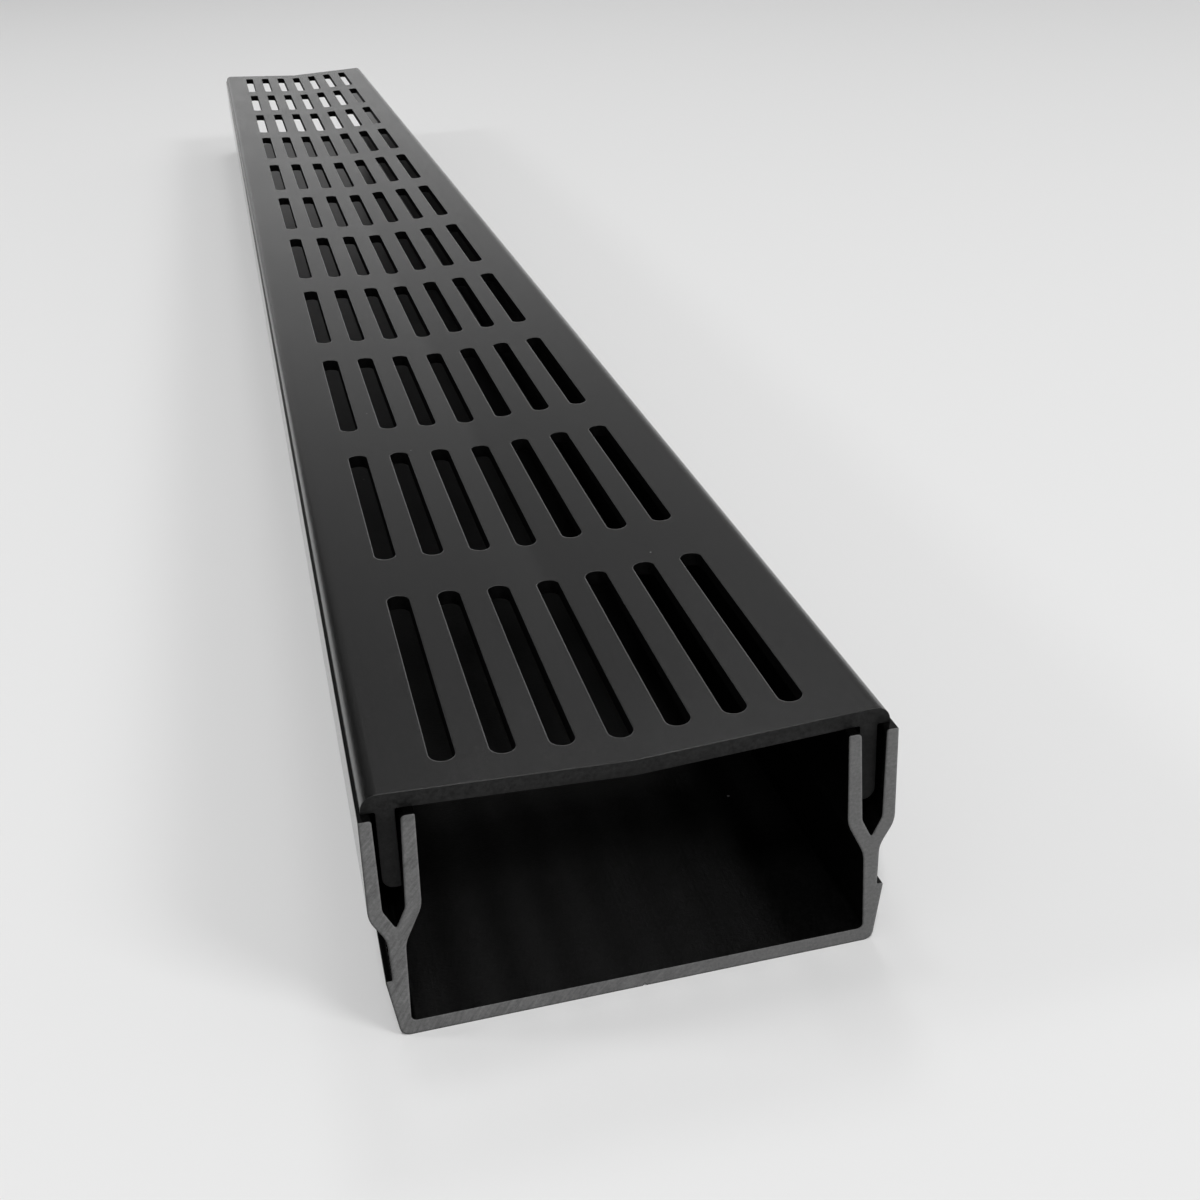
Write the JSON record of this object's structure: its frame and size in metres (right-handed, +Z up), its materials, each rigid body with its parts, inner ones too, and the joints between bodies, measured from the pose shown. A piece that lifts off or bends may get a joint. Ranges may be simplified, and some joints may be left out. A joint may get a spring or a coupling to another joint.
{
  "type": "channel drain",
  "caption": "Straight surface drain: a U-shaped plastic channel with forked walls and a slotted, shallow V grate pushed into them.",
  "frame": {"origin": "underside of the channel, on the centre line, at the middle of the length", "axes": "+X across the channel, +Y along its length, +Z up through the grate"},
  "size_m": [0.106, 1, 0.0558],
  "materials": {
    "channel_plastic": "black extruded plastic, sawn to length",
    "grate_plastic": "black extruded plastic with punched slots"
  },
  "bodies": {
    "root": {"channel": "channel_plastic", "grate": "grate_plastic"}
  },
  "joints": []
}
